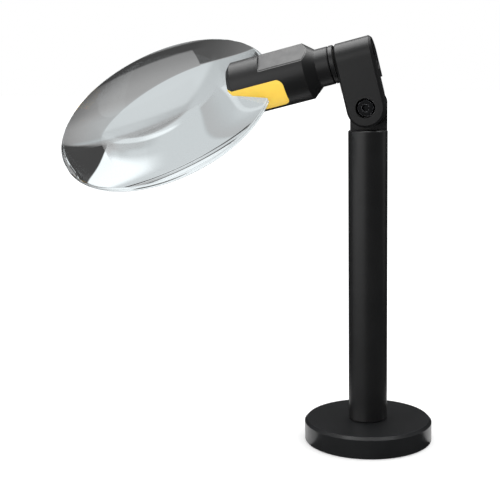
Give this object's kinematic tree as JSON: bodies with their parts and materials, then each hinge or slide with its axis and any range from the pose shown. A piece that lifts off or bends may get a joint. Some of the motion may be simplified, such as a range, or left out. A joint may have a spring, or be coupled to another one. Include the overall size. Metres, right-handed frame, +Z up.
{
  "type": "stand magnifier",
  "caption": "Free-standing magnifier with a weighted round base, a post, a tilting elbow and a swivelling head that grips a rimless lens",
  "frame": {"origin": "on the table under the post's axis, at the middle of the base pad's underside", "axes": "+Z up along the post; the arm reaches towards -X and tilts in the XZ plane; the pivot screw's head faces -Y"},
  "size_m": [0.1651, 0.0814, 0.1744],
  "materials": {
    "black_steel": "satin",
    "elbow_steel": "satin",
    "black_anodised": "satin",
    "black_oxide": "satin",
    "bright_steel": "satin",
    "spring_steel": "satin",
    "pad_rubber": "matte",
    "bush_plastic": "satin",
    "washer_fibre": "matte",
    "label_grey": "satin",
    "insert_yellow": "satin",
    "clear_acrylic": "polished"
  },
  "bodies": {
    "stand": {"base_disc": "black_steel", "base_pad": "pad_rubber", "base_screw": "bright_steel", "post": "black_steel", "pivot_screw": "black_oxide", "pivot_spring": "spring_steel"},
    "elbow": {"elbow": "elbow_steel", "pivot_bush": "bush_plastic", "pivot_washer": "washer_fibre", "front_bush": "bush_plastic", "rear_bush": "bush_plastic"},
    "head": {"front_washer": "washer_fibre", "thrust_ring": "black_anodised", "swivel_spring": "spring_steel", "end_cap": "black_anodised", "end_screw": "black_oxide", "spindle": "bright_steel", "head_body": "black_anodised", "label_plate": "label_grey", "jaw_insert": "insert_yellow"},
    "lens": {"lens": "clear_acrylic"}
  },
  "joints": [
    {"name": "elbow_tilt", "type": "hinge", "parent": "stand", "child": "elbow", "pos_m": [0, 0, 0.1438], "axis": [0, -1, 0], "range_deg": [-100, 45]},
    {"name": "head_swivel", "type": "hinge", "parent": "elbow", "child": "head", "pos_m": [-0.00484, 0, 0.16398], "axis": [-0.9724, 0, -0.2334], "continuous": true},
    {"name": "lens_pull", "type": "slide", "parent": "head", "child": "lens", "axis": [-0.9724, 0, -0.2334], "range_m": [0, 0.025]}
  ]
}
